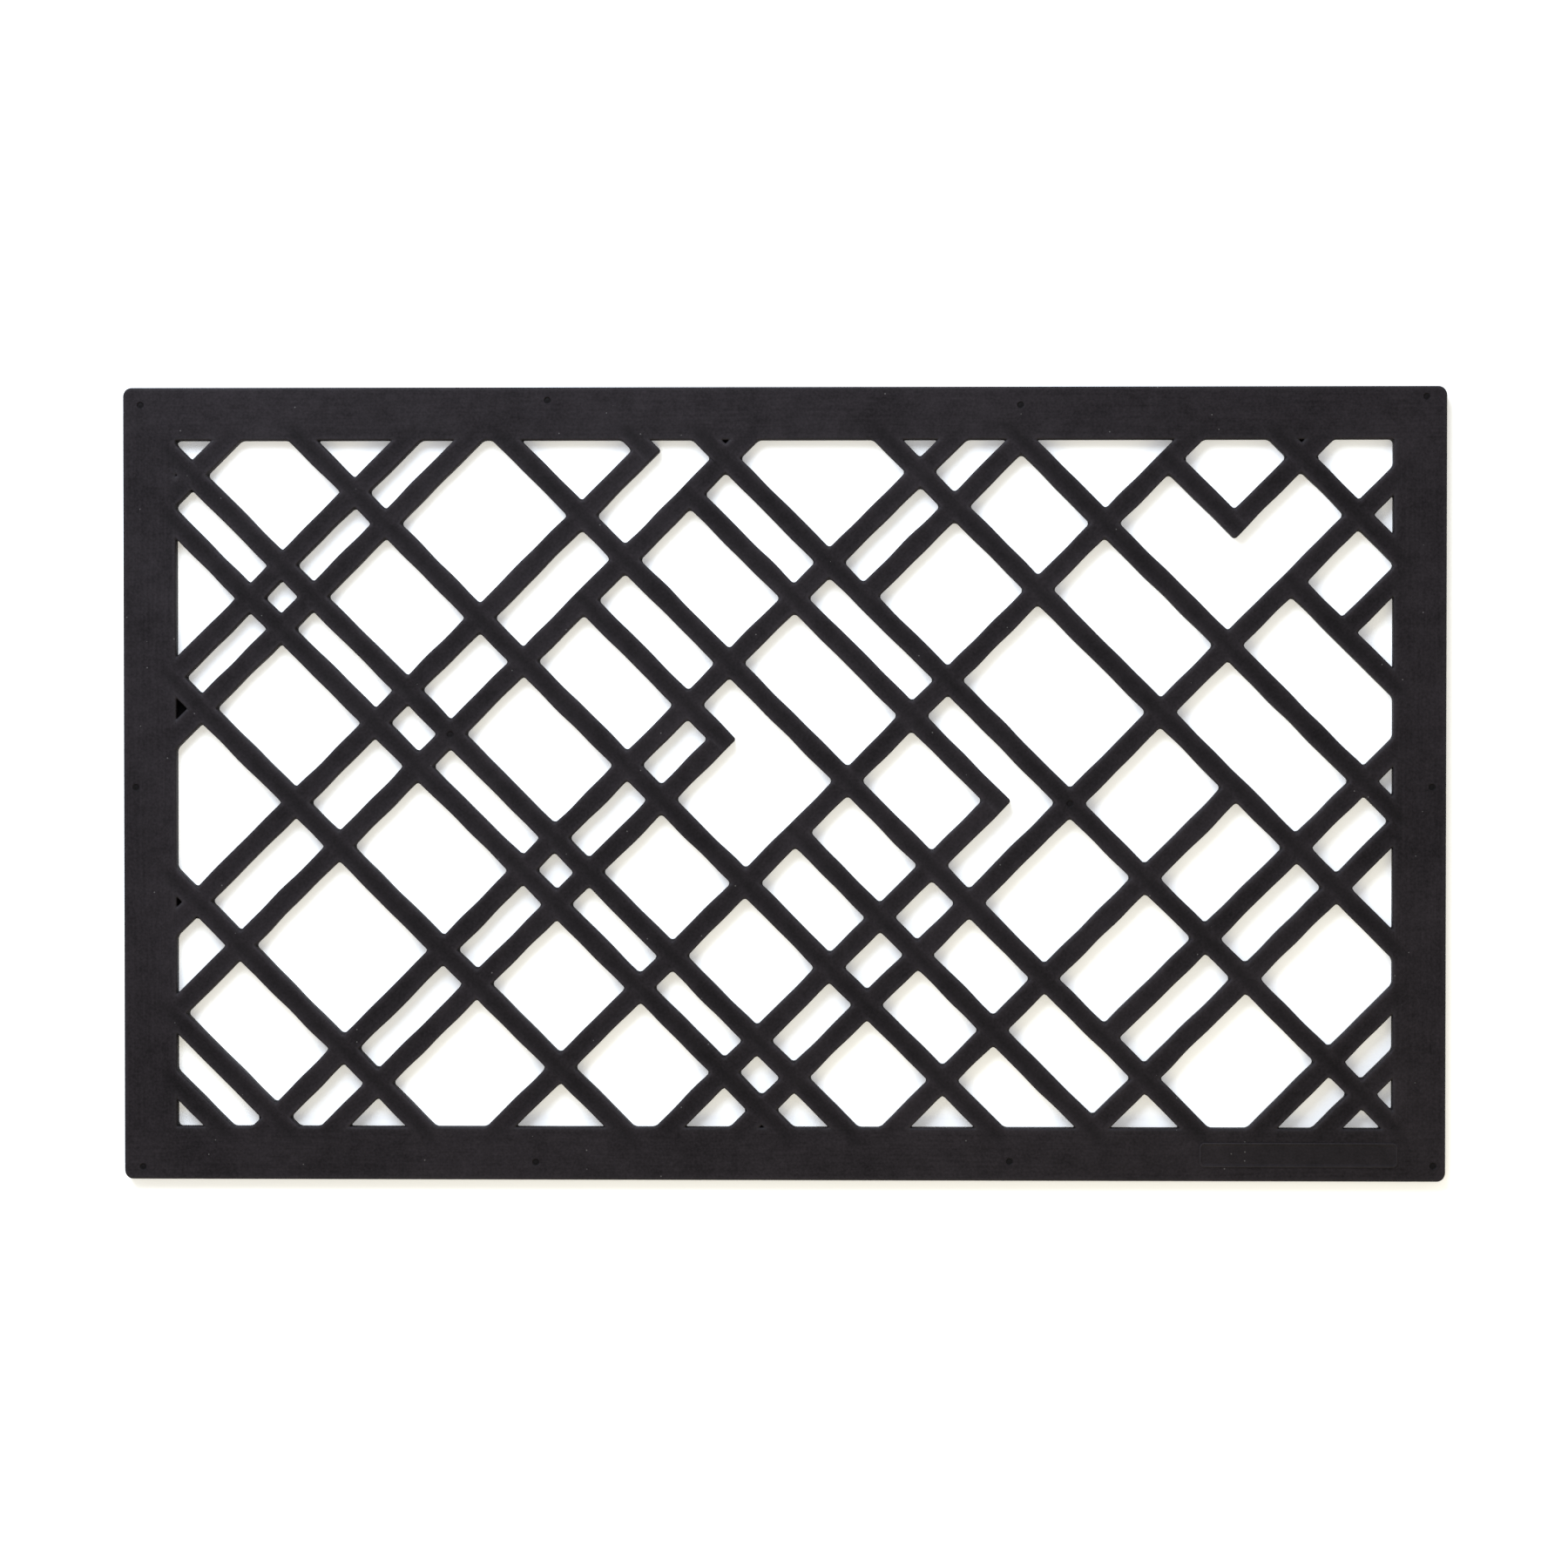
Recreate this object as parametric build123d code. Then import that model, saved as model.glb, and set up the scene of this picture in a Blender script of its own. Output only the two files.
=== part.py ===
from build123d import *
import os
from math import sqrt

# Rubber door mat: an open lattice of diagonal slats inside a flat border.
# X runs along the mat, Y across it and Z up. The origin is the middle of the underside.
# A falling slat runs down to the right and a rising slat runs up to the right.
# The rubber is one moulding, and it is divided here into its members: the falling slats
# run through every crossing, and the rising slats fill the stretches between them.
# All sizes are in millimetres.

mat_length = 750
mat_width = 450
mat_thickness = 9
border_width = 30
outer_corner_radius = 5
slat_width = 11.8

# Windows smaller than this are closed by a thin web at the underside.
smallest_open_window = 40
web_thickness = 2

# Round marks left by the mould's pins. On each rail a mark has a place along the rail from its
# middle and a distance in from the outer edge. They are as uneven as on the real mat.
mark_diameter = 4
mark_depth = 0.5
top_marks = [(-365, 10), (-133.5, 7.5), (134.5, 10.5), (363.5, 6)]
bottom_marks = [(-364.5, 7), (-140.5, 10), (128.5, 11), (368, 9)]
left_marks = [(-2, 7)]
right_marks = [(-1.5, 8)]

# Blank raised panel on the lower border.
label_length = 112
label_width = 14
label_height = 0.4
label_corner_radius = 3
label_end_margin = 27
label_edge_margin = 8

# Places of the slats' centre lines, measured square to the slats from the mat's middle, in a
# lattice of this length and width, where every slat lies at 45 degrees. On a mat of other
# proportions the whole pattern stretches with the lattice, and the slats keep their width.
drawn_length = 690
drawn_width = 390
fall_places = [-365, -338.5, -283.5, -203.5, -139.5, -113.5, -55, -14.5, -6.5, 27, 79, 107.5,
               180, 233.5, 284.5, 338]
rise_places = [-361.5, -289, -264, -188.5, -153.5, -70, -42.5, 24.5, 76.5, 92.5, 122.5, 163,
               183, 231, 263, 330, 356]

# A slat runs from border to border unless it is listed here by its number. A broken slat
# has one or more runs, each from one crossing slat's number to another's, and None is the border.
broken_falls = {8: [(8, None)], 9: [(5, 7)], 11: [(None, 4), (5, 10)], 15: [(8, 9), (11, None)]}
broken_rises = {4: [(None, 11)], 7: [(None, 9), (12, 14)], 9: [(15, None)], 10: [(None, 11)],
                12: [(15, None)], 13: [(None, 13)], 14: [(10, None)]}

# Falling and rising slats whose crossings carry a mould mark.
marked_crossings = [(6, 5), (12, 11)]

# Sizes that follow from the ones above.
lattice_length = mat_length - 2 * border_width
lattice_width = mat_width - 2 * border_width
stretch_x = lattice_length / drawn_length
stretch_y = lattice_width / drawn_width
half_slat = slat_width / 2 * sqrt((1 / stretch_x**2 + 1 / stretch_y**2) / 2)
past_border = (drawn_length + drawn_width) / 2
lattice_field = Rectangle(lattice_length, lattice_width)


def fall_place(number):
    return fall_places[number - 1]


def rise_place(number):
    return rise_places[number - 1]


def lattice_point(fall, rise):
    # The point where a falling line crosses a rising line, by their places in the pattern.
    return stretch_x * (fall + rise) / sqrt(2), stretch_y * (fall - rise) / sqrt(2)


def lattice_patch(fall_low, fall_high, rise_low, rise_high):
    corners = [lattice_point(fall_low, rise_low), lattice_point(fall_low, rise_high),
               lattice_point(fall_high, rise_high), lattice_point(fall_high, rise_low)]
    return Polygon(*corners, align=None)


def run_ends(run, place_of):
    # A run reaches the far side of the slat that stops it, or goes out past the border's edge.
    first, last = run
    low = -past_border if first is None else place_of(first) - half_slat
    high = past_border if last is None else place_of(last) + half_slat
    return low, high


def fall_outline(number, run):
    place = fall_place(number)
    low, high = run_ends(run, rise_place)
    return lattice_field & lattice_patch(place - half_slat, place + half_slat, low, high)


def rise_outline(number, run):
    place = rise_place(number)
    low, high = run_ends(run, fall_place)
    return lattice_field & lattice_patch(low, high, place - half_slat, place + half_slat)


def outlines(prefix, places, broken, outline):
    # Names every slat by its number, with a letter where a line has more than one run.
    named = {}
    for number in range(1, len(places) + 1):
        runs = broken.get(number, [(None, None)])
        for index, run in enumerate(runs):
            letter = "ab"[index] if len(runs) > 1 else ""
            named[f"{prefix}_{number:02d}{letter}"] = outline(number, run)
    return named


def pin_marks(places):
    # The shallow round cuts at the top face, one at each place.
    pin = Cylinder(mark_diameter / 2, 2 * mark_depth)
    return [place * Pos(0, 0, mat_thickness) * pin for place in places]


def long_rail(side, marks):
    # The top rail has side 1 and the bottom rail has side -1. Each holds two outer corners.
    middle = side * (mat_width - border_width) / 2
    block = Pos(0, middle, mat_thickness / 2) * Box(mat_length, border_width, mat_thickness)
    outer = [edge for edge in block.edges().filter_by(Axis.Z) if side * edge.center().Y > side * middle]
    places = [Pos(stretch_x * along, side * (mat_width / 2 - inset)) for along, inset in marks]
    return fillet(outer, outer_corner_radius) - pin_marks(places)


def short_rail(side, marks):
    # The right rail has side 1 and the left rail has side -1. Both stand between the long rails.
    middle = side * (mat_length - border_width) / 2
    block = Pos(middle, 0, mat_thickness / 2) * Box(border_width, lattice_width, mat_thickness)
    places = [Pos(side * (mat_length / 2 - inset), stretch_y * along) for along, inset in marks]
    return block - pin_marks(places)


def pocket_webs(windows):
    # A thin floor in each window that is too small for the mould to open.
    small = [window for window in windows.faces() if window.area < smallest_open_window]
    return extrude(Sketch() + small, web_thickness)


def label_pad():
    x = mat_length / 2 - label_end_margin - label_length / 2
    y = -mat_width / 2 + label_edge_margin + label_width / 2
    plan = RectangleRounded(label_length, label_width, label_corner_radius)
    return Pos(x, y, mat_thickness) * extrude(plan, label_height)


falls = outlines("fall_slat", fall_places, broken_falls, fall_outline)
rises = outlines("rise_slat", rise_places, broken_rises, rise_outline)
fall_strips = list(falls.values())
windows = lattice_field - fall_strips - list(rises.values())

crossing_marks = pin_marks([Pos(*lattice_point(fall_place(fall), rise_place(rise)))
                            for fall, rise in marked_crossings])

parts = {"border_top": long_rail(1, top_marks), "border_bottom": long_rail(-1, bottom_marks)}
parts["border_left"] = short_rail(-1, left_marks)
parts["border_right"] = short_rail(1, right_marks)
parts["pocket_webs"] = pocket_webs(windows)
for name, outline in falls.items():
    parts[name] = extrude(outline, mat_thickness) - crossing_marks
for name, outline in rises.items():
    parts[name] = extrude(outline - fall_strips, mat_thickness)
parts["label_pad"] = label_pad()

os.makedirs("parts", exist_ok=True)
for name, part in parts.items():
    export_step(part, f"parts/{name}.step")
print(len(parts), "nodes written")
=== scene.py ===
import bmesh
import bpy
import math
import numpy as np
from mathutils import Euler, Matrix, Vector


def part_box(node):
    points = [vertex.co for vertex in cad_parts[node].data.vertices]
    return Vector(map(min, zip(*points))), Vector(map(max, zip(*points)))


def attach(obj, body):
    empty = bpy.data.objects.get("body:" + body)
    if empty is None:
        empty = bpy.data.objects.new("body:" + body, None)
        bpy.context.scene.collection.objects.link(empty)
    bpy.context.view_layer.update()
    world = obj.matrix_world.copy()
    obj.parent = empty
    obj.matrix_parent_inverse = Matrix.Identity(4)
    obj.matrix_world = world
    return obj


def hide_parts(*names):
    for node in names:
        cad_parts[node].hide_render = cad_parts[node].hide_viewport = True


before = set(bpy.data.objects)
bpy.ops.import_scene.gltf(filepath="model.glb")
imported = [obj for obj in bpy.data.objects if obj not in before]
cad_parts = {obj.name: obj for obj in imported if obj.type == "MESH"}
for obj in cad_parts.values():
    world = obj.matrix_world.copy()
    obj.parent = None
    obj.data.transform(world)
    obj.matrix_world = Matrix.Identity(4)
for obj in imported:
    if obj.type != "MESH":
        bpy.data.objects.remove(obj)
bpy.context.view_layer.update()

mm = 0.001

# ---- sizes of the moulding that the CAD model leaves plain ----

moulding = {
    "edgeRound": 1.3 * mm,        # rounding along every top edge
    "undersideRound": 0.4 * mm,   # rounding along every bottom edge
    "cornerFillet": 2.4 * mm,     # where two walls meet inside a window, below the tread face
    "borderFillet": 1.3 * mm,     # where a slat runs into the border
    "sharpFillet": 0.6 * mm,      # the same corner at the tread face: a small pit lies between
    "pitSlope": 7.0,              # how steeply that pit falls away from the tread face
    "pitDepth": 5.0 * mm,
    "tipRadius": 1.8 * mm,        # free outer corners of the slats
    "outerRadius": 5.0 * mm,      # the mat's own corners
    "fallSink": 0.20 * mm,        # how far a falling slat's middle has sunk as it cooled
    "riseSink": 0.10 * mm,
    "sinkWidth": 3.1 * mm,
    "sinkRunOut": 15.0 * mm,      # how far a sink carries on into the border
    "waviness": 0.07 * mm,        # slow unevenness of the tread face
    "wobble": 0.24 * mm,          # how far the slats wander sideways inside the border
    "crossingHalf": 6.5 * mm,     # a rising slat's sink fades this close to a falling slat's middle
    "underBorder": 12.0 * mm,     # how far a slat's box carries on under the border
    "intoSlat": 2.8 * mm,         # how far a rising slat's box runs into the slat that stops it
    "shortOfStop": 9.0 * mm,      # how far before its own stop a falling slat's fillets end
}

# What the material is told about each place on the tread face.
maskLook = {
    "flatFrom": 2.5 * mm,         # in from the wall, where sinks and waviness have their full depth
    "edgeWidth": 3.2 * mm,
    # The next three set how much painted shade sinks, mould marks and corner pits get.
    "sinkShadeShare": 0.58,            # how dark a sink, a mark and a pit of this depth are
    "markShadeShare": 1.3,
    "pitFullShade": 0.6 * mm,
}

pinMark = {
    "radius": 2.0 * mm,
    "depth": 0.50 * mm,
    "middleHeight": 0.12 * mm,    # the low button left in the middle of a mark
    "middleRadius": 1.0 * mm,
    "wallWidth": 0.35 * mm,       # how wide the slope round the recess and the button is
}

meshing = {
    "slatStep": 4.0 * mm,         # spacing of plain stretches along a slat
    "borderStep": 3.5 * mm,       # and along the border
    "crossStep": 9.0 * mm,        # and across a bar
    "closest": 0.03 * mm,         # places nearer than this become one
    "shortBar": 60.0 * mm,        # bars shorter than this lean over along their whole length
    "leanLength": 30.0 * mm,      # and longer ones over this length at each end
    "pushReach": 3.2 * mm,        # how far in from the wall a fillet moves the grid
    "rings": np.array([0, 0.05, 0.2, 0.45, 0.85, 1.3, 1.9]) * mm,   # spacing in from a wall or an end
    "across": np.array([3.0, 4.4]) * mm,                            # lines on a slat, in from each wall
    "acrossBorder": np.array([3.2, 5.0, 8.0, 11.5, 15.0]) * mm,
    "nearCorner": np.array([-2.8, -1.9, -1.3, -0.8, -0.4, 0, 0.4, 0.8, 1.3, 1.9, 2.8]) * mm,
    "nearMark": np.linspace(-2.4, 2.4, 13) * mm,
}


def rotatedAxes(angle):
    # Unit vectors along a bar that lies at this angle, and across it to its left.
    along = np.array([math.cos(math.radians(angle)), math.sin(math.radians(angle))])
    return along, np.array([-along[1], along[0]])


def barAngle(name):
    angles = {"fall": -45, "rise": 45}
    plain = {"border_top": 0, "border_bottom": 0, "border_left": 90, "border_right": 90}
    return plain[name] if name in plain else angles[name[:4]]


# ---- reading the bars from the CAD model ----

def nodeTriangles(name):
    # Every triangle of a node as an array of shape (triangles, 3 corners, 3 coordinates).
    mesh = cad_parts[name].data
    mesh.calc_loop_triangles()
    points = np.empty(len(mesh.vertices) * 3)
    mesh.vertices.foreach_get("co", points)
    corners = np.empty(len(mesh.loop_triangles) * 3, dtype=np.int32)
    mesh.loop_triangles.foreach_get("vertices", corners)
    return points.reshape(-1, 3)[corners].reshape(-1, 3, 3)


def splitAtGaps(values, low, high):
    # Sorts spans by their low ends and starts a new group wherever a span begins past all before it.
    order = np.argsort(low)
    reached = np.maximum.accumulate(high[order])
    starts = np.flatnonzero(low[order][1:] > reached[:-1] + 0.5 * mm) + 1
    return [values[group] for group in np.split(order, starts)]


def readBars(name):
    # Each separate solid of a node as its plan corners, measured along and across the bar.
    along, across = rotatedAxes(barAngle(name))
    triangles = nodeTriangles(name)
    underside = triangles[np.all(triangles[:, :, 2] < 0.01 * mm, axis=1)][:, :, :2]
    u = underside @ along
    bars = []
    for group in splitAtGaps(underside, u.min(axis=1), u.max(axis=1)):
        plan = group.reshape(-1, 2)
        uv = np.unique(np.round(np.stack([plan @ along, plan @ across], axis=1), 7), axis=0)
        if name.startswith("border"):
            low, high = uv.min(axis=0), uv.max(axis=0)
            uv = np.array([[low[0], low[1]], [high[0], low[1]], [low[0], high[1]], [high[0], high[1]]])
        bars.append({"name": name, "along": along, "across": across, "corners": uv})
    return bars


barNames = sorted(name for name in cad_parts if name.startswith(("border", "fall", "rise")))
allBars = [bar for name in barNames for bar in readBars(name)]
allCorners = np.concatenate([bar["corners"] @ np.stack([bar["along"], bar["across"]]) for bar in allBars])
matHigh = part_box("border_top")[1]
matTop = matHigh.z
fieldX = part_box("border_right")[0].x
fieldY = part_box("border_top")[0].y
print(len(allBars), "bars read from", len(barNames), "nodes")


def readSlats():
    # One long box per slat node: its middle line, its half width and how far it runs. At the border
    # both of its reaches carry on under the rail. Where another slat stops it, the fillet reach
    # ends inside that slat, well short of its far wall, and the body goes on as far as the solid.
    slats = []
    for name in (n for n in barNames if not n.startswith("border")):
        bars = [bar for bar in allBars if bar["name"] == name]
        uv = np.concatenate([bar["corners"] for bar in bars])
        along, across = bars[0]["along"], bars[0]["across"]
        stops = (uv[:, 0].min(), uv[:, 0].max())
        body, filletReach = list(stops), list(stops)
        isRise = name[:4] == "rise"
        for index, sign in ((0, -1), (1, 1)):
            tip = uv[np.abs(uv[:, 0] - stops[index]) < 0.05 * mm][0]
            x, y = tip[0] * along + tip[1] * across
            atBorder = abs(x) > fieldX - 0.05 * mm or abs(y) > fieldY - 0.05 * mm
            if atBorder:
                further = (moulding["underBorder"], moulding["underBorder"])
            elif isRise:
                further = (moulding["intoSlat"], moulding["intoSlat"])
            else:
                further = (0, -moulding["shortOfStop"])
            body[index] += sign * further[0]
            filletReach[index] += sign * further[1]
        low, high = uv[:, 1].min(), uv[:, 1].max()
        slats.append({"name": name, "along": along, "across": across, "stops": stops, "body": body,
                      "filletReach": filletReach, "middle": (low + high) / 2,
                      "halfWidth": (high - low) / 2})
    return slats


def readMarks():
    # The middles of the round mould marks, found from the floors that they have in the CAD model.
    points = np.concatenate([nodeTriangles(name).reshape(-1, 3) for name in barNames])
    depth = matTop - points[:, 2]
    floors = points[(depth > 0.1 * mm) & (depth < 1.5 * mm)][:, :2]
    marks = []
    for column in splitAtGaps(floors, floors[:, 0] - 2 * mm, floors[:, 0] + 2 * mm):
        for group in splitAtGaps(column, column[:, 1] - 2 * mm, column[:, 1] + 2 * mm):
            marks.append((group.min(axis=0) + group.max(axis=0)) / 2)
    return np.array(marks)


slats = readSlats()
marks = readMarks()
print(len(slats), "slats and", len(marks), "mould marks")


# ---- the moulding's surface as functions of the place in plan ----

def boxDistance(u, v, ends, middle, halfWidth, radius):
    # Distance outside a box with rounded corners: straight past a side, round past a corner.
    sideways = np.abs(v - middle) - halfWidth + radius
    endways = np.maximum(ends[0] - u, u - ends[1]) + radius
    outside = np.hypot(np.maximum(sideways, 0), np.maximum(endways, 0))
    return outside + np.minimum(np.maximum(sideways, endways), 0) - radius


def filletedUnion(a, b, radius):
    # Joins two distances, with a round fillet where the two walls come within the radius.
    inner = np.hypot(np.maximum(radius - a, 0), np.maximum(radius - b, 0))
    return np.maximum(radius, np.minimum(a, b)) - inner


def wallDistances(x, y):
    # Distance from the nearest wall, above nought in the open windows and below nought in the
    # rubber: once with the wide fillets of the lower walls and once with the tread face's own.
    wide, sharp, tip = moulding["cornerFillet"], moulding["sharpFillet"], moulding["tipRadius"]
    lower, upper, bodies = (np.full_like(x, 1.0) for _ in range(3))
    for slat in slats:
        u = x * slat["along"][0] + y * slat["along"][1]
        v = x * slat["across"][0] + y * slat["across"][1]
        inner = boxDistance(u, v, slat["filletReach"], slat["middle"], slat["halfWidth"], tip)
        outer = boxDistance(u, v, slat["body"], slat["middle"], slat["halfWidth"], tip)
        lower = filletedUnion(lower, inner, wide)
        upper = filletedUnion(upper, inner, sharp)
        bodies = np.minimum(bodies, outer)
    lowerBorder = filletedUnion(fieldX - np.abs(x), fieldY - np.abs(y), wide)
    upperBorder = filletedUnion(fieldX - np.abs(x), fieldY - np.abs(y), sharp)
    lower = np.minimum(filletedUnion(lower, lowerBorder, moulding["borderFillet"]), bodies)
    upper = np.minimum(filletedUnion(upper, upperBorder, sharp), bodies)
    outline = boxDistance(x, y, (-matHigh.x, matHigh.x), 0, matHigh.y, moulding["outerRadius"])
    return np.maximum(lower, outline), np.maximum(upper, outline)


def lowerWall(x, y):
    # The lower walls' distance at one place.
    return wallDistances(np.array([x]), np.array([y]))[0][0]


def sinkDepth(x, y):
    # A shallow hollow along each slat's middle line that fades out past its ends. The falling
    # slats' hollows run on over the crossings, where those of the rising slats give way.
    fallDepth, riseDepth, nearFall = (np.zeros_like(x) for _ in range(3))
    for slat in slats:
        u = x * slat["along"][0] + y * slat["along"][1]
        v = x * slat["across"][0] + y * slat["across"][1] - slat["middle"]
        past = np.maximum(slat["stops"][0] - u, u - slat["stops"][1])
        fade = np.clip(1 - np.maximum(past, 0) / moulding["sinkRunOut"], 0, 1) ** 2
        hollow = fade * np.exp(-(v / moulding["sinkWidth"]) ** 2)
        if slat["name"][:4] == "fall":
            fallDepth = np.maximum(fallDepth, moulding["fallSink"] * hollow)
            nearFall = np.maximum(nearFall, fade * np.exp(-(v / moulding["crossingHalf"]) ** 4))
        else:
            riseDepth = np.maximum(riseDepth, moulding["riseSink"] * hollow)
    return np.maximum(fallDepth, riseDepth * (1 - nearFall))


def markDepth(x, y):
    # A round recess with a low button in its middle, at each mould mark.
    depth = np.zeros_like(x)
    for mark in marks:
        r = np.hypot(x - mark[0], y - mark[1])
        recess = np.clip((pinMark["radius"] - r) / pinMark["wallWidth"], 0, 1)
        button = np.clip((pinMark["middleRadius"] - r) / pinMark["wallWidth"], 0, 1)
        depth += pinMark["depth"] * recess - pinMark["middleHeight"] * button
    return depth


def waviness(x, y):
    # A few long sine waves in seeded directions, from nought to one.
    draw = np.random.default_rng(12)
    total = np.zeros_like(x)
    for length in (310, 190, 120, 75, 48):
        angle, phase = draw.uniform(0, 2 * math.pi, 2)
        total += np.sin(2 * math.pi * (x * math.cos(angle) + y * math.sin(angle)) / (length * mm) + phase)
    return 0.5 + total / 10


def wobbled(x, y):
    # Moves places sideways by a few seeded sine waves that die away towards the border.
    draw = np.random.default_rng(31)
    room = np.clip(np.minimum(fieldX - np.abs(x), fieldY - np.abs(y)) / (22 * mm), 0, 1)
    shifts = []
    for _ in range(2):
        total = np.zeros_like(x)
        for length in (120, 77, 49, 31, 20):
            angle, phase = draw.uniform(0, 2 * math.pi, 2)
            wave = x * math.cos(angle) + y * math.sin(angle)
            total += np.sin(2 * math.pi * wave / (length * mm) + phase) / 2.2
        shifts.append(moulding["wobble"] * room * total)
    return x + shifts[0], y + shifts[1]


def roundDrop(depth, radius):
    # How far a quarter-round edge has fallen at this depth in from the wall.
    short = np.clip(radius - depth, 0, radius)
    return radius - np.sqrt(radius ** 2 - short ** 2)


def topAndBottom(x, y):
    # Heights of the tread face and the underside, then two masks of the tread face for the
    # material: how near the edge a place is, for a painted highlight and wear, and how far down in a sink,
    # a mark or a corner pit, for painted shade.
    lower, upper = wallDistances(x, y)
    depth = np.maximum(-upper, 0)
    flat = np.clip(depth / maskLook["flatFrom"], 0, 1)
    sink, mark = sinkDepth(x, y), markDepth(x, y)
    pit = np.clip(upper * moulding["pitSlope"], 0, moulding["pitDepth"]) * (lower < 0.02 * mm)
    pit = np.where(upper > 0.03 * mm, pit, 0)
    top = matTop - roundDrop(depth, moulding["edgeRound"]) - pit
    top = top - flat * (sink + moulding["waviness"] * waviness(x, y)) - mark
    bottom = roundDrop(np.maximum(-lower, 0), moulding["undersideRound"])
    edge = np.clip(1 - depth / maskLook["edgeWidth"], 0, 1) ** 2
    # Painted shade: the deeper a place lies in a sink, a mould mark or a corner pit, the darker the
    # material makes it.
    hollow = maskLook["sinkShadeShare"] * sink / moulding["fallSink"] + pit / maskLook["pitFullShade"]
    hollow = hollow + maskLook["markShadeShare"] * mark / pinMark["depth"]
    return top, bottom, edge, np.clip(hollow, 0, 1)


# ---- one bar as a closed skin on a grid of stations along it and lines across it ----

def endLine(corners, v, pick):
    # Where the bar begins (pick is min) or ends (pick is max) on each line across it: the furthest
    # reach of any straight stretch between two of its corners, carried on straight past its sides.
    low, high = corners[:, 1].min(), corners[:, 1].max()
    inside = np.clip(v, low, high)
    step = 0.02 * mm

    def reach(line):
        best = np.full(line.shape, -np.inf if pick is np.max else np.inf)
        for a in corners:
            for b in corners:
                if b[1] - a[1] > 1e-6:
                    t = (line - a[1]) / (b[1] - a[1])
                    value = np.where((t >= -1e-6) & (t <= 1 + 1e-6), a[0] + t * (b[0] - a[0]), best)
                    best = np.maximum(best, value) if pick is np.max else np.minimum(best, value)
        return best

    slope = (reach(np.clip(inside + step, low, high)) - reach(np.clip(inside - step, low, high)))
    slope /= np.clip(inside + step, low, high) - np.clip(inside - step, low, high)
    return reach(inside) + slope * (v - inside), slope


def spreadSteps(low, high, step, clusters):
    # Sorted places from low to high: the clusters that fall inside, and even steps between them.
    even = np.linspace(low, high, max(2, int((high - low) / step) + 1))
    places = np.concatenate([even, np.concatenate(clusters)])
    places = np.unique(np.round(places[(places >= low) & (places <= high)], 7))
    keep = np.concatenate([[True], np.diff(places) > meshing["closest"]])
    keep[-1] = True
    return places[keep]


def crossLines(bar, low, high):
    # The lines across a bar: close together by its two walls, and through its marks and end bends.
    inner = meshing["acrossBorder"] if bar["name"].startswith("border") else meshing["across"]
    insets = np.concatenate([meshing["rings"], inner])
    insets = insets[insets < (high - low) / 2]
    bends = bar["corners"][:, 1]
    clusters = [low + insets, high - insets, bends, np.array([(low + high) / 2])]
    clusters += [mark + meshing["nearMark"] for mark in bar["marksAcross"]]
    return spreadSteps(low, high, meshing["crossStep"], clusters)


def stations(bar, start, end, low, high):
    # The places along a bar: close together by its ends, its marks and the slats that meet it.
    plan = np.stack([bar["along"], bar["across"]])
    others = allCorners @ plan.T
    onWall = np.minimum(np.abs(others[:, 1] - low), np.abs(others[:, 1] - high)) < 0.05 * mm
    meets = others[onWall & (others[:, 0] > start) & (others[:, 0] < end)][:, 0]
    meets = np.unique(np.round(meets, 5))
    rings = meshing["rings"]
    if bar["name"].startswith("border"):
        rings = np.concatenate([rings, [3.0 * mm, 5.0 * mm]])
    clusters = [start + rings, end - rings]
    clusters += [place + meshing["nearCorner"] for place in meets]
    clusters += [mark + meshing["nearMark"] for mark in bar["marksAlong"]]
    step = meshing["borderStep" if bar["name"].startswith("border") else "slatStep"]
    return spreadSteps(start, end, step, clusters)


def placeOf(bar, u, v):
    return u * bar["along"][0] + v * bar["across"][0], u * bar["along"][1] + v * bar["across"][1]


def filletPush(bar, u, wall, side, ending):
    # How far the wall stands out beside an end that meets another bar: the quarter round of the
    # fillet, for a point this far from the meeting line. Beside a free end it stays where it is.
    line, slope = ending
    fillet = moulding["cornerFillet" if bar["name"].startswith("border") else "borderFillet"]
    if abs(slope) < 0.5:
        fillet = moulding["cornerFillet"]
    sign = 1 if side > 0 else -1
    fromEnd = np.abs(u - line) / math.sqrt(1 + slope ** 2)
    probeU = line + np.sign(np.mean(u) - line) * 0.1 * mm * math.sqrt(1 + slope ** 2)
    probeV = wall + sign * 0.3 * mm
    x, y = placeOf(bar, probeU + slope * (probeV - wall), probeV)
    if bar["name"] in ("border_top", "border_bottom") or lowerWall(x, y) > -0.05 * mm:
        return np.zeros_like(u)
    return sign * (fillet - np.sqrt(fillet ** 2 - np.clip(fillet - fromEnd, 0, fillet) ** 2))


def cornerPull(bar, u, v, wall, inward):
    # How far a free corner is pulled back to round it off, on each line across the bar.
    x, y = placeOf(bar, u, wall)
    free = lowerWall(x, y) > 0.2 * mm
    radius = moulding["outerRadius"] if bar["name"].startswith("border") else moulding["tipRadius"]
    over = np.clip(radius - np.abs(wall - v), 0, radius)
    pull = radius - np.sqrt(radius ** 2 - over ** 2)
    return inward * pull * free


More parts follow.
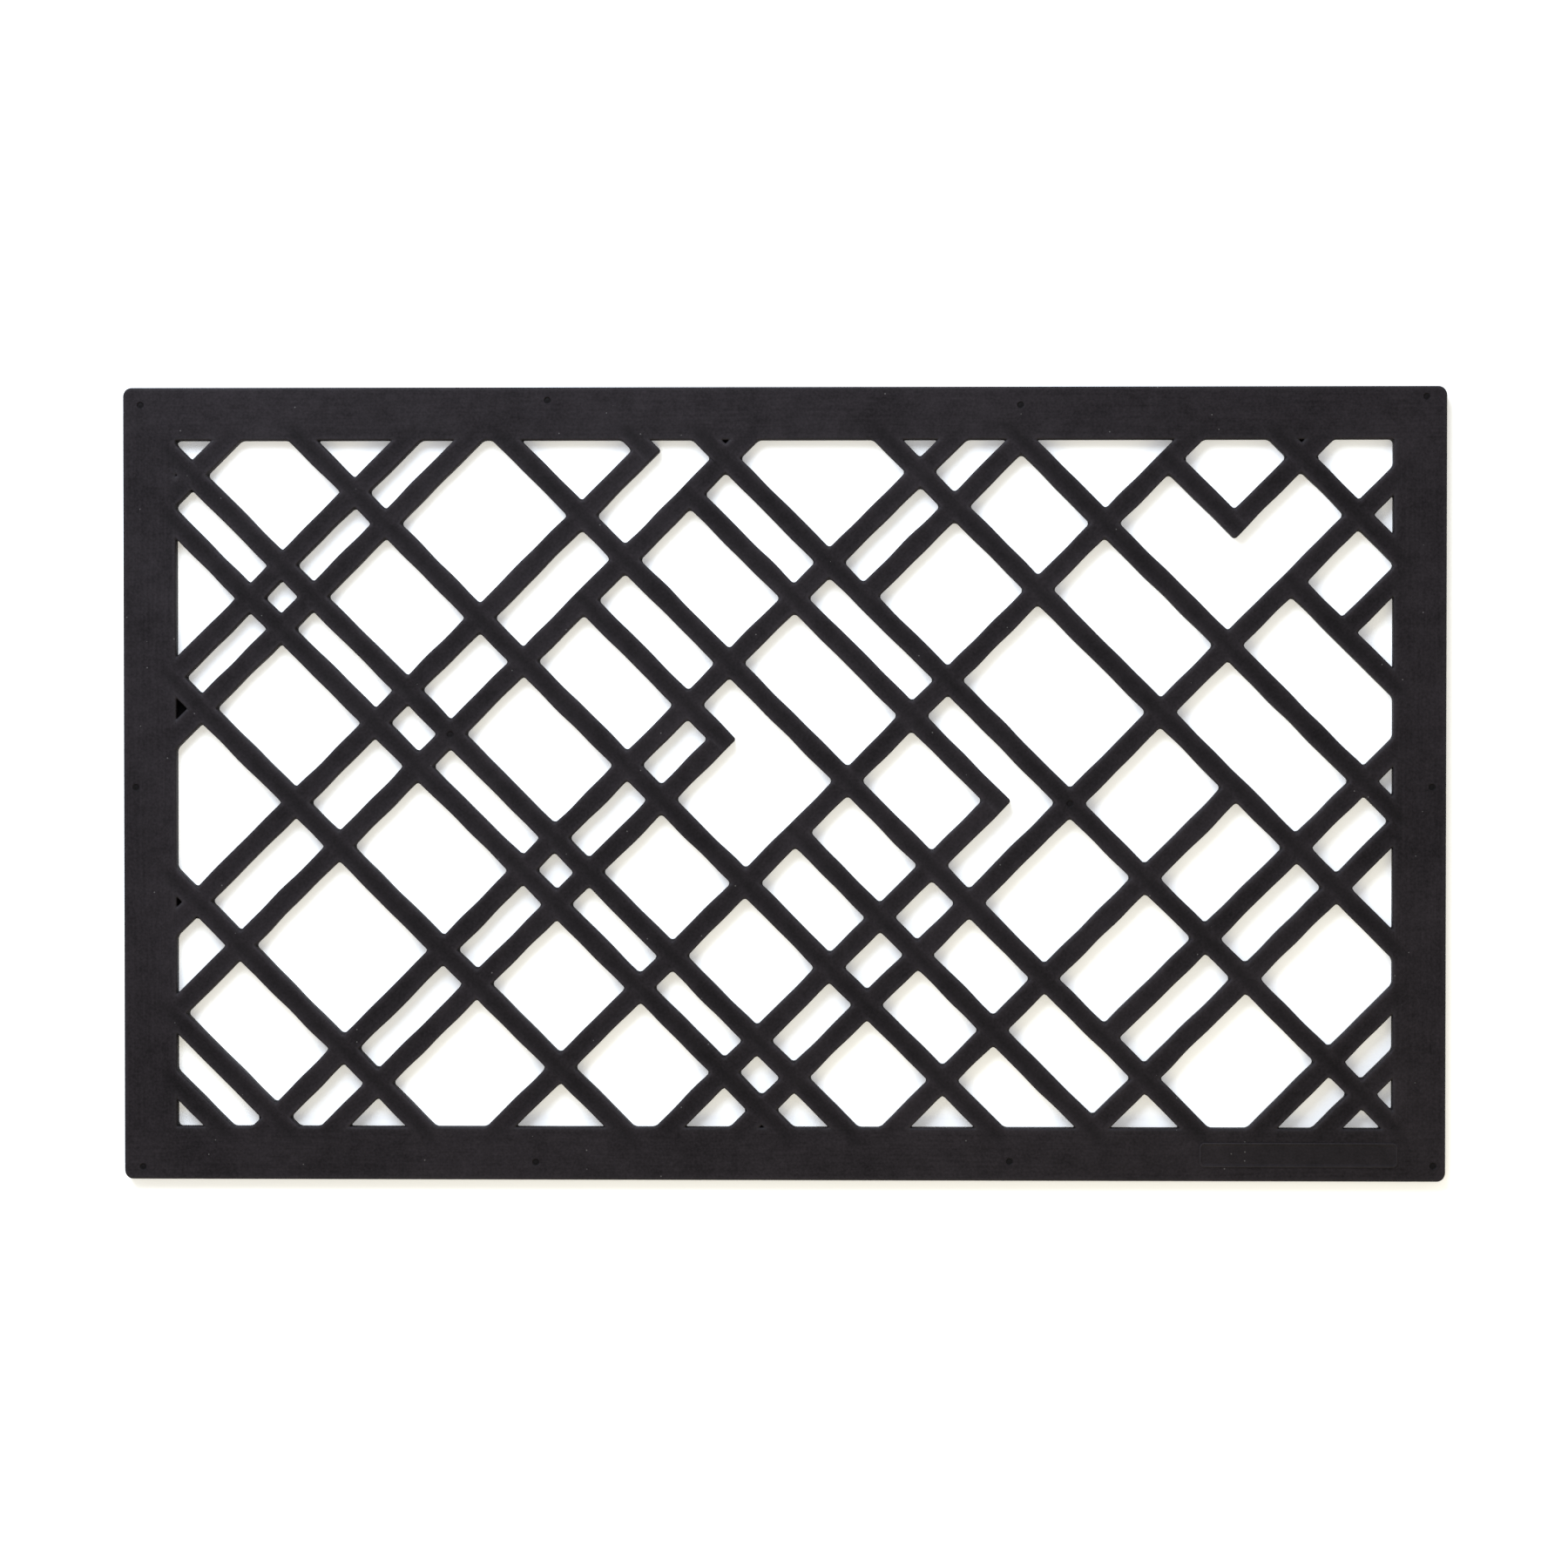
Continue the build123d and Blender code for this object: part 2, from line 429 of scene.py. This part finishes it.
def barGrid(bar):
    # Places of the whole grid. A station is straight across in the middle of the bar, and leans
    # over bit by bit to follow the slanted end, so its shift is the end's own shape times a fade.
    low, high = bar["corners"][:, 1].min(), bar["corners"][:, 1].max()
    middle = (low + high) / 2
    v = crossLines(bar, low, high)
    startV, _ = endLine(bar["corners"], v, np.min)
    endV, _ = endLine(bar["corners"], v, np.max)
    start0 = endLine(bar["corners"], np.array([middle]), np.min)[0][0]
    end0 = endLine(bar["corners"], np.array([middle]), np.max)[0][0]
    s = stations(bar, start0, end0, low, high)
    length = end0 - start0
    fadeLength = length if length < meshing["shortBar"] else meshing["leanLength"]
    nearStart = np.clip(1 - (s - start0) / fadeLength, 0, 1)
    nearEnd = np.clip(1 - (end0 - s) / fadeLength, 0, 1)
    if fadeLength < length:
        nearStart, nearEnd = (3 * f ** 2 - 2 * f ** 3 for f in (nearStart, nearEnd))
    push = []
    for wall, side in ((low, -1), (high, 1)):
        wallStart, slopeStart = (q[0] for q in endLine(bar["corners"], np.array([wall]), np.min))
        wallEnd, slopeEnd = (q[0] for q in endLine(bar["corners"], np.array([wall]), np.max))
        if wallEnd - wallStart < 0.5 * mm:
            push.append(np.zeros_like(s))
            continue
        wallU = s + (wallStart - start0) * nearStart + (wallEnd - end0) * nearEnd
        atStart = filletPush(bar, wallU, wall, side, (wallStart, slopeStart))
        atEnd = filletPush(bar, wallU, wall, side, (wallEnd, slopeEnd))
        push.append(np.where(np.abs(atStart) > np.abs(atEnd), atStart, atEnd))
    lowRamp = np.clip(1 - (v - low) / meshing["pushReach"], 0, 1)
    highRamp = np.clip(1 - (high - v) / meshing["pushReach"], 0, 1)
    vGrid = v[None, :] + push[0][:, None] * lowRamp[None, :] + push[1][:, None] * highRamp[None, :]
    startGrid, _ = endLine(bar["corners"], vGrid, np.min)
    endGrid, _ = endLine(bar["corners"], vGrid, np.max)
    for wall in (low, high):
        startGrid += cornerPull(bar, startV[0 if wall == low else -1], vGrid, wall, 1)
        endGrid += cornerPull(bar, endV[0 if wall == low else -1], vGrid, wall, -1)
    uGrid = s[:, None] + (startGrid - start0) * nearStart[:, None] + (endGrid - end0) * nearEnd[:, None]
    return uGrid, vGrid


def slabFaces(rows, columns):
    # Quads of a top grid, the same grid underneath turned over, and a wall round the four sides.
    index = np.arange(rows * columns).reshape(rows, columns)
    below = index + rows * columns
    top = np.stack([index[:-1, :-1], index[1:, :-1], index[1:, 1:], index[:-1, 1:]], axis=-1)
    bottom = np.stack([below[:-1, :-1], below[:-1, 1:], below[1:, 1:], below[1:, :-1]], axis=-1)
    rim = np.concatenate([index[:-1, 0], index[-1, :-1], index[:0:-1, -1], index[0, :0:-1]])
    rimNext = np.roll(rim, -1)
    deep = rows * columns
    wall = np.stack([rim, rim + deep, rimNext + deep, rimNext], axis=-1)
    return np.concatenate([top.reshape(-1, 4), bottom.reshape(-1, 4), wall])


def newPiece(name, points, faces, values):
    # Puts arrays into a mesh and joins the points that lie together.
    mesh = bpy.data.meshes.new(name)
    mesh.from_pydata(points.tolist(), [], faces.tolist())
    for key, data in values.items():
        kind, field = ("FLOAT_VECTOR", "vector") if data.ndim > 1 else ("FLOAT", "value")
        mesh.attributes.new(key, kind, "POINT").data.foreach_set(field, data.astype(np.float32).ravel())
    build = bmesh.new()
    build.from_mesh(mesh)
    bmesh.ops.remove_doubles(build, verts=build.verts, dist=0.002 * mm)
    build.to_mesh(mesh)
    build.free()
    mesh.shade_smooth()
    mesh.set_sharp_from_angle(angle=math.radians(38))
    piece = bpy.data.objects.new(name, mesh)
    bpy.context.scene.collection.objects.link(piece)
    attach(piece, "root")
    return piece


def makeBars(name):
    # One piece for each node of the lattice and border, with all of the node's bars in it.
    points, faces, masks, count = [], [], {"edge": [], "hollow": [], "barPlace": []}, 0
    for bar in (b for b in allBars if b["name"] == name):
        across, along = marks @ bar["across"], marks @ bar["along"]
        low, high = bar["corners"].min(axis=0), bar["corners"].max(axis=0)
        on = (across > low[1]) & (across < high[1]) & (along > low[0]) & (along < high[0])
        bar["marksAcross"], bar["marksAlong"] = np.unique(np.round(across[on], 5)), along[on]
        u, v = barGrid(bar)
        x, y = placeOf(bar, u, v)
        top, bottom, edge, hollow = topAndBottom(x, y)
        wx, wy = wobbled(x, y)
        for height in (top, bottom):
            points.append(np.stack([wx, wy, height], axis=-1).reshape(-1, 3))
            masks["barPlace"].append(np.stack([u, v, height], axis=-1).reshape(-1, 3))
        # The edge mask carries a painted highlight and wear, the hollow mask painted shade.
        masks["edge"] += [edge.ravel(), np.zeros(edge.size)]
        masks["hollow"] += [hollow.ravel(), np.zeros(hollow.size)]
        faces.append(slabFaces(*x.shape) + count)
        count += 2 * x.size
    values = {key: np.concatenate(parts) for key, parts in masks.items()}
    piece = newPiece(name + "_skin", np.concatenate(points), np.concatenate(faces), values)
    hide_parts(name)
    return piece


pieces = {name: makeBars(name) for name in barNames}
faceCount = sum(len(piece.data.polygons) for piece in pieces.values())
print(len(pieces), "bars and rails skinned with", faceCount, "faces")


# ---- the blank raised panel on the lower border ----

panelLook = {
    "cornerRadius": 3.0 * mm,
    "rim": 1.0 * mm,            # width of the raised rim
    "recess": 0.22 * mm,        # depth of the blank middle below the rim
    "edgeRound": 0.3 * mm,
    "rootDepth": 0.5 * mm,      # how far the panel's foot goes into the border
}


def makePanel():
    # A rounded rectangle's outline, drawn in ring by ring: up the side, over the rim and down to
    # the blank middle. Each ring is a place in from the outline and a height.
    low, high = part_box("label_pad")
    centre = np.array([(low.x + high.x) / 2, (low.y + high.y) / 2])
    size = np.array([(high.x - low.x) / 2, (high.y - low.y) / 2])
    turn = (np.arange(96) + 0.5) / 96 * 2 * math.pi
    corner = np.stack([np.sign(np.cos(turn)), np.sign(np.sin(turn))], axis=-1)
    arc = np.stack([np.abs(np.cos(turn)), np.abs(np.sin(turn))], axis=-1)
    rise = panelLook["edgeRound"]
    rim, recess = panelLook["rim"], panelLook["recess"]
    steps = [(0, low.z - panelLook["rootDepth"]), (0, high.z - rise), (rise * 0.3, high.z - rise * 0.3),
             (rise, high.z), (rim, high.z), (rim + 0.15 * mm, high.z - recess * 0.3),
             (rim + 0.4 * mm, high.z - recess), (2.2 * mm, high.z - recess), (2.95 * mm, high.z - recess)]
    rings = []
    for inset, height in steps:
        radius = panelLook["cornerRadius"] - inset
        plan = centre + corner * (size - panelLook["cornerRadius"] + arc * radius)
        rings.append(np.column_stack([plan, np.full(len(turn), height)]))
    count = len(turn)
    k = np.arange(count)
    faces = [np.stack([r * count + k, r * count + (k + 1) % count,
                       (r + 1) * count + (k + 1) % count, (r + 1) * count + k], axis=-1)
             for r in range(len(steps) - 1)]
    points = np.concatenate(rings)
    # The blank middle and the hidden foot are strips between opposite sides of their rings.
    last = (len(steps) - 1) * count
    j = np.arange(count // 2 - 1)
    middle = np.stack([last + j, last + j + 1, last + count - 2 - j, last + count - 1 - j], axis=-1)
    foot = np.stack([count - 1 - j, count - 2 - j, j + 1, j], axis=-1)
    allFaces = np.concatenate(faces + [middle, foot])
    inset = np.repeat([s[0] for s in steps], count)
    values = {"edge": np.clip(1 - inset / rim, 0, 1), "hollow": np.zeros(len(points)), "barPlace": points}
    piece = newPiece("blank_panel", points, allFaces, values)
    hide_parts("label_pad")
    return piece


panel = makePanel()
print("blank panel made")


# ---- rubber ----

def groupSockets(group, inputs, outputs):
    for name, kind, default in inputs:
        socket = group.interface.new_socket(name, in_out="INPUT", socket_type=kind)
        if default is not None:
            socket.default_value = default
    for name, kind in outputs:
        group.interface.new_socket(name, in_out="OUTPUT", socket_type=kind)


def addNode(tree, kind, inputs=None, **settings):
    node = tree.nodes.new(kind)
    for key, value in settings.items():
        setattr(node, key, value)
    for key, value in (inputs or {}).items():
        if isinstance(value, bpy.types.NodeSocket):
            tree.links.new(value, node.inputs[key])
        else:
            node.inputs[key].default_value = value
    return node


def mathNode(tree, operation, a, b=0.0, clamp=False):
    return addNode(tree, "ShaderNodeMath", {0: a, 1: b}, operation=operation, use_clamp=clamp).outputs[0]


def makeGrainGroup():
    # Moulded skin: fine grain, and a slower orange-peel under it, as one height.
    group = bpy.data.node_groups.new("mouldedGrain", "ShaderNodeTree")
    groupSockets(group, [("Vector", "NodeSocketVector", None), ("Grain Size", "NodeSocketFloat", 900.0),
                         ("Peel Size", "NodeSocketFloat", 160.0), ("Peel Share", "NodeSocketFloat", 0.5)],
                 [("Height", "NodeSocketFloat"), ("Grain", "NodeSocketFloat")])
    source, sink = addNode(group, "NodeGroupInput"), addNode(group, "NodeGroupOutput")
    grain = addNode(group, "ShaderNodeTexNoise", {"Vector": source.outputs["Vector"],
                    "Scale": source.outputs["Grain Size"], "Detail": 4.5, "Roughness": 0.65})
    peel = addNode(group, "ShaderNodeTexNoise", {"Vector": source.outputs["Vector"],
                   "Scale": source.outputs["Peel Size"], "Detail": 2.0, "Roughness": 0.5})
    slow = mathNode(group, "MULTIPLY", peel.outputs["Fac"], source.outputs["Peel Share"])
    group.links.new(mathNode(group, "ADD", grain.outputs["Fac"], slow), sink.inputs["Height"])
    group.links.new(grain.outputs["Fac"], sink.inputs["Grain"])
    return group


def makeMottleGroup():
    # Cloudy patches of slightly different black, from two noises, spread about the middle value.
    group = bpy.data.node_groups.new("castMottle", "ShaderNodeTree")
    groupSockets(group, [("Vector", "NodeSocketVector", None), ("Cloud Size", "NodeSocketFloat", 14.0),
                         ("Patch Size", "NodeSocketFloat", 90.0), ("Contrast", "NodeSocketFloat", 1.0)],
                 [("Mottle", "NodeSocketFloat")])
    source, sink = addNode(group, "NodeGroupInput"), addNode(group, "NodeGroupOutput")
    cloud = addNode(group, "ShaderNodeTexNoise", {"Vector": source.outputs["Vector"],
                    "Scale": source.outputs["Cloud Size"], "Detail": 4.0, "Roughness": 0.55})
    patch = addNode(group, "ShaderNodeTexNoise", {"Vector": source.outputs["Vector"],
                    "Scale": source.outputs["Patch Size"], "Detail": 5.0, "Roughness": 0.65})
    both = mathNode(group, "ADD", cloud.outputs["Fac"], patch.outputs["Fac"])
    centred = mathNode(group, "SUBTRACT", both, 1.0)
    centred = mathNode(group, "MULTIPLY", centred, source.outputs["Contrast"])
    group.links.new(mathNode(group, "ADD", centred, 0.5, clamp=True), sink.inputs["Mottle"])
    return group


def makeStreakGroup():
    # Fine polishing lines of the mould that run along a bar: a noise drawn out lengthwise.
    group = bpy.data.node_groups.new("mouldStreaks", "ShaderNodeTree")
    groupSockets(group, [("Bar Place", "NodeSocketVector", None), ("Lengthwise", "NodeSocketFloat", 22.0),
                         ("Crosswise", "NodeSocketFloat", 620.0)],
                 [("Streaks", "NodeSocketFloat")])
    source, sink = addNode(group, "NodeGroupInput"), addNode(group, "NodeGroupOutput")
    scale = addNode(group, "ShaderNodeCombineXYZ", {"X": source.outputs["Lengthwise"],
                    "Y": source.outputs["Crosswise"], "Z": 1.0})
    drawn = addNode(group, "ShaderNodeVectorMath", {0: source.outputs["Bar Place"], 1: scale.outputs[0]},
                    operation="MULTIPLY")
    lines = addNode(group, "ShaderNodeTexNoise", {"Vector": drawn.outputs[0], "Scale": 1.0, "Detail": 3.0,
                    "Roughness": 0.6})
    group.links.new(lines.outputs["Fac"], sink.inputs["Streaks"])
    return group


def makeDustGroup():
    # Sparse pale specks: the middles of a few cells of a fine cell pattern.
    group = bpy.data.node_groups.new("paleSpecks", "ShaderNodeTree")
    groupSockets(group, [("Vector", "NodeSocketVector", None), ("Speck Spacing", "NodeSocketFloat", 260.0),
                         ("Speck Radius", "NodeSocketFloat", 0.10), ("Share", "NodeSocketFloat", 0.06)],
                 [("Specks", "NodeSocketFloat")])
    source, sink = addNode(group, "NodeGroupInput"), addNode(group, "NodeGroupOutput")
    cells = addNode(group, "ShaderNodeTexVoronoi", {"Vector": source.outputs["Vector"],
                    "Scale": source.outputs["Speck Spacing"]}, feature="F1")
    near = mathNode(group, "LESS_THAN", cells.outputs["Distance"], source.outputs["Speck Radius"])
    tone = addNode(group, "ShaderNodeSeparateColor", {"Color": cells.outputs["Color"]})
    chosen = mathNode(group, "LESS_THAN", tone.outputs["Red"], source.outputs["Share"])
    group.links.new(mathNode(group, "MULTIPLY", near, chosen), sink.inputs["Specks"])
    return group


groups = {"grain": makeGrainGroup(), "mottle": makeMottleGroup(), "streaks": makeStreakGroup(),
          "dust": makeDustGroup()}

# deep and pale are the two blacks that the mottle goes between, then how far each effect counts.
# The webs at the bottom of the smallest windows hardly see any light: their copy of the rubber is painted
# about four times darker as painted shade, close to plain black.
rubberLook = {
    "slat_rubber": {"deep": (0.0043, 0.0032, 0.0039), "pale": (0.0162, 0.0128, 0.0152),
                    "edgeHighlightAndWearTone": (0.035, 0.031, 0.035), "paintedShadeTone": (0.0012, 0.0008, 0.0010),
                    "rough": (0.60, 0.82), "specular": 0.10, "bump": 0.6, "grainSize": 700.0,
                    "streaks": 0.22, "speckle": 1.8, "hollow": 0.78, "highlightAndWear": 0.80, "specks": 0.05},
    "border_rubber": {"deep": (0.0043, 0.0032, 0.0039), "pale": (0.0160, 0.0127, 0.0150),
                      "edgeHighlightAndWearTone": (0.031, 0.028, 0.031), "paintedShadeTone": (0.0012, 0.0008, 0.0010),
                      "rough": (0.58, 0.80), "specular": 0.10, "bump": 0.6, "grainSize": 700.0,
                      "streaks": 0.38, "speckle": 1.8, "hollow": 0.90, "highlightAndWear": 0.55, "specks": 0.05},
    "label_rubber": {"deep": (0.0040, 0.0030, 0.0037), "pale": (0.0150, 0.0119, 0.0141),
                     "edgeHighlightAndWearTone": (0.029, 0.026, 0.029), "paintedShadeTone": (0.0012, 0.0008, 0.0010),
                     "rough": (0.52, 0.70), "specular": 0.11, "bump": 0.4, "grainSize": 900.0,
                     "streaks": 0.20, "speckle": 1.4, "hollow": 0.80, "highlightAndWear": 0.60, "specks": 0.05},
    # Painted shade: the same rubber about four times darker, for the webs deep in the smallest windows.
    "web_painted_shade_rubber": {"deep": (0.0008, 0.0006, 0.0008), "pale": (0.0034, 0.0027, 0.0032),
                   "edgeHighlightAndWearTone": (0.010, 0.009, 0.010), "paintedShadeTone": (0.0012, 0.0008, 0.0010),
                   "rough": (0.70, 0.86), "specular": 0.05, "bump": 0.4, "grainSize": 700.0,
                   "streaks": 0.0, "speckle": 1.2, "hollow": 0.0, "highlightAndWear": 0.0, "specks": 0.004},
}
dustColour = (0.16, 0.155, 0.15, 1.0)


def rubberMaterial(slotName):
    look = rubberLook[slotName]
    material = bpy.data.materials.new(slotName)
    material.use_nodes = True
    tree = material.node_tree
    tree.nodes.clear()
    out = addNode(tree, "ShaderNodeOutputMaterial")
    rubber = addNode(tree, "ShaderNodeBsdfPrincipled")
    rubber.inputs["Specular IOR Level"].default_value = look["specular"]
    rubber.inputs["IOR"].default_value = 1.5
    coordinates = addNode(tree, "ShaderNodeTexCoord")
    place = coordinates.outputs["Object"]
    upward = addNode(tree, "ShaderNodeSeparateXYZ", {0: coordinates.outputs["Normal"]}).outputs["Z"]
    grain = addNode(tree, "ShaderNodeGroup", node_tree=groups["grain"])
    mottle = addNode(tree, "ShaderNodeGroup", node_tree=groups["mottle"])
    dust = addNode(tree, "ShaderNodeGroup", node_tree=groups["dust"])
    barPlace = addNode(tree, "ShaderNodeAttribute", attribute_name="barPlace").outputs["Vector"]
    streaks = addNode(tree, "ShaderNodeGroup", {"Bar Place": barPlace}, node_tree=groups["streaks"])
    for node in (grain, mottle, dust):
        tree.links.new(place, node.inputs["Vector"])
    grain.inputs["Grain Size"].default_value = look["grainSize"]
    dust.inputs["Share"].default_value = look["specks"]
    edge = addNode(tree, "ShaderNodeAttribute", attribute_name="edge").outputs["Fac"]
    hollow = addNode(tree, "ShaderNodeAttribute", attribute_name="hollow").outputs["Fac"]

    def blend(amount, a, b):
        node = addNode(tree, "ShaderNodeMix", data_type="RGBA")
        for socket, value in ((node.inputs[0], amount), (node.inputs[6], a), (node.inputs[7], b)):
            if isinstance(value, bpy.types.NodeSocket):
                tree.links.new(value, socket)
            else:
                socket.default_value = value if isinstance(value, float) else (*value[:3], 1.0)
        return node.outputs[2]

    lines = mathNode(tree, "MULTIPLY", mathNode(tree, "SUBTRACT", streaks.outputs["Streaks"], 0.5),
                     look["streaks"] * 2)
    speckle = mathNode(tree, "MULTIPLY", mathNode(tree, "SUBTRACT", grain.outputs["Grain"], 0.5),
                       look["speckle"])
    lined = mathNode(tree, "ADD", mottle.outputs["Mottle"], lines)
    tone = mathNode(tree, "ADD", lined, speckle, clamp=True)
    body = blend(tone, look["deep"], look["pale"])
    # Painted highlight and wear: places near the top edges that face upward, towards the lamps, are made
    # lighter.
    facing = mathNode(tree, "MULTIPLY", edge, mathNode(tree, "MAXIMUM", upward, 0.0))
    patchy = mathNode(tree, "MULTIPLY", facing, mathNode(tree, "ADD", grain.outputs["Grain"], 0.35))
    wornAndPaintedLight = blend(mathNode(tree, "MULTIPLY", patchy, look["highlightAndWear"]), body, look["edgeHighlightAndWearTone"])
    # Painted shade: places down in sinks, mould marks and corner pits are made darker.
    wornAndPaintedLight = blend(mathNode(tree, "MULTIPLY", hollow, look["hollow"]), wornAndPaintedLight, look["paintedShadeTone"])
    dusty = blend(mathNode(tree, "MULTIPLY", dust.outputs["Specks"], 0.40), wornAndPaintedLight, dustColour)
    tree.links.new(dusty, rubber.inputs["Base Color"])
    low, high = look["rough"]
    rough = addNode(tree, "ShaderNodeMapRange", {"Value": mottle.outputs["Mottle"], "To Min": high,
                    "To Max": low})
    tree.links.new(rough.outputs["Result"], rubber.inputs["Roughness"])
    bump = addNode(tree, "ShaderNodeBump", {"Height": grain.outputs["Height"], "Strength": look["bump"],
                   "Distance": 0.12 * mm})
    tree.links.new(bump.outputs["Normal"], rubber.inputs["Normal"])
    tree.links.new(rubber.outputs["BSDF"], out.inputs["Surface"])
    return material


materials = {name: rubberMaterial(name) for name in rubberLook}
for name, piece in pieces.items():
    piece.data.materials.append(materials["border_rubber" if name.startswith("border") else "slat_rubber"])
panel.data.materials.append(materials["label_rubber"])
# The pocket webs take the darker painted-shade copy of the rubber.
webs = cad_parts["pocket_webs"]
webs.data.materials.clear()
webs.data.materials.append(materials["web_painted_shade_rubber"])
print("rubber applied")


# ---- floor, light and camera ----

stageLook = {
    "floorSize": 14.0,
    "floorColour": (0.90, 0.90, 0.90, 1.0),
    "floorGlow": 0.30,            # a light table: the ground shines a little by itself
    "worldColour": (1.0, 1.0, 1.0, 1.0),
    "worldStrength": 0.61,
    "lightSize": 1.2,
}

# A cool soft box behind the mat and a weaker warm one in front of it.
lights = {
    "topSoftBox": {"place": (-0.55, 1.15, 1.08), "aim": (-0.05, 0, 0), "power": 49,
                   "colour": (0.80, 0.89, 1.0)},
    "frontSoftBox": {"place": (0.50, -1.45, 1.08), "aim": (0.08, -0.05, 0), "power": 15,
                     "colour": (1.0, 0.88, 0.52)},
}


def plainMaterial(name, colour, roughness, glow):
    material = bpy.data.materials.new(name)
    material.use_nodes = True
    shader = material.node_tree.nodes["Principled BSDF"]
    shader.inputs["Base Color"].default_value = colour
    shader.inputs["Roughness"].default_value = roughness
    shader.inputs["Emission Color"].default_value = colour
    shader.inputs["Emission Strength"].default_value = glow
    return material


def makeFloor():
    side = stageLook["floorSize"] / 2
    mesh = bpy.data.meshes.new("floor")
    level = -0.1 * mm
    corners = [(-side, -side, level), (side, -side, level), (side, side, level), (-side, side, level)]
    mesh.from_pydata(corners, [], [(0, 1, 2, 3)])
    floor = bpy.data.objects.new("floor", mesh)
    bpy.context.scene.collection.objects.link(floor)
    paleFloor = plainMaterial("paleFloor", stageLook["floorColour"], 0.9, stageLook["floorGlow"])
    mesh.materials.append(paleFloor)


def makeWorld():
    world = bpy.data.worlds.new("studio")
    world.use_nodes = True
    back = world.node_tree.nodes["Background"]
    back.inputs["Color"].default_value = stageLook["worldColour"]
    back.inputs["Strength"].default_value = stageLook["worldStrength"]
    bpy.context.scene.world = world


def softLight(name, look):
    # A square soft box at a place, turned to face the point it is aimed at.
    data = bpy.data.lights.new(name, "AREA")
    data.shape = "SQUARE"
    data.size = stageLook["lightSize"]
    data.energy = look["power"]
    data.color = look["colour"]
    light = bpy.data.objects.new(name, data)
    bpy.context.scene.collection.objects.link(light)
    direction = np.array(look["aim"]) - np.array(look["place"])
    pitch = math.atan2(math.hypot(direction[0], direction[1]), -direction[2])
    light.location = look["place"]
    light.rotation_euler = Euler((pitch, 0, math.atan2(-direction[0], direction[1])))


def makeCamera():
    # A long lens well above the mat, a touch off its middle, looking straight down.
    data = bpy.data.cameras.new("camera")
    data.lens, data.sensor_width, data.clip_end = 105.0, 36.0, 50.0
    camera = bpy.data.objects.new("camera", data)
    camera.location = (0.061, 0.049, 2.600)
    camera.rotation_euler = Euler([math.radians(angle) for angle in (-1.08, 1.334, 0.0)])
    bpy.context.scene.collection.objects.link(camera)
    bpy.context.scene.camera = camera


makeFloor()
makeWorld()
for lightName, lightLook in lights.items():
    softLight(lightName, lightLook)
makeCamera()
bpy.context.scene.view_settings.view_transform = "Standard"
print("stage set")
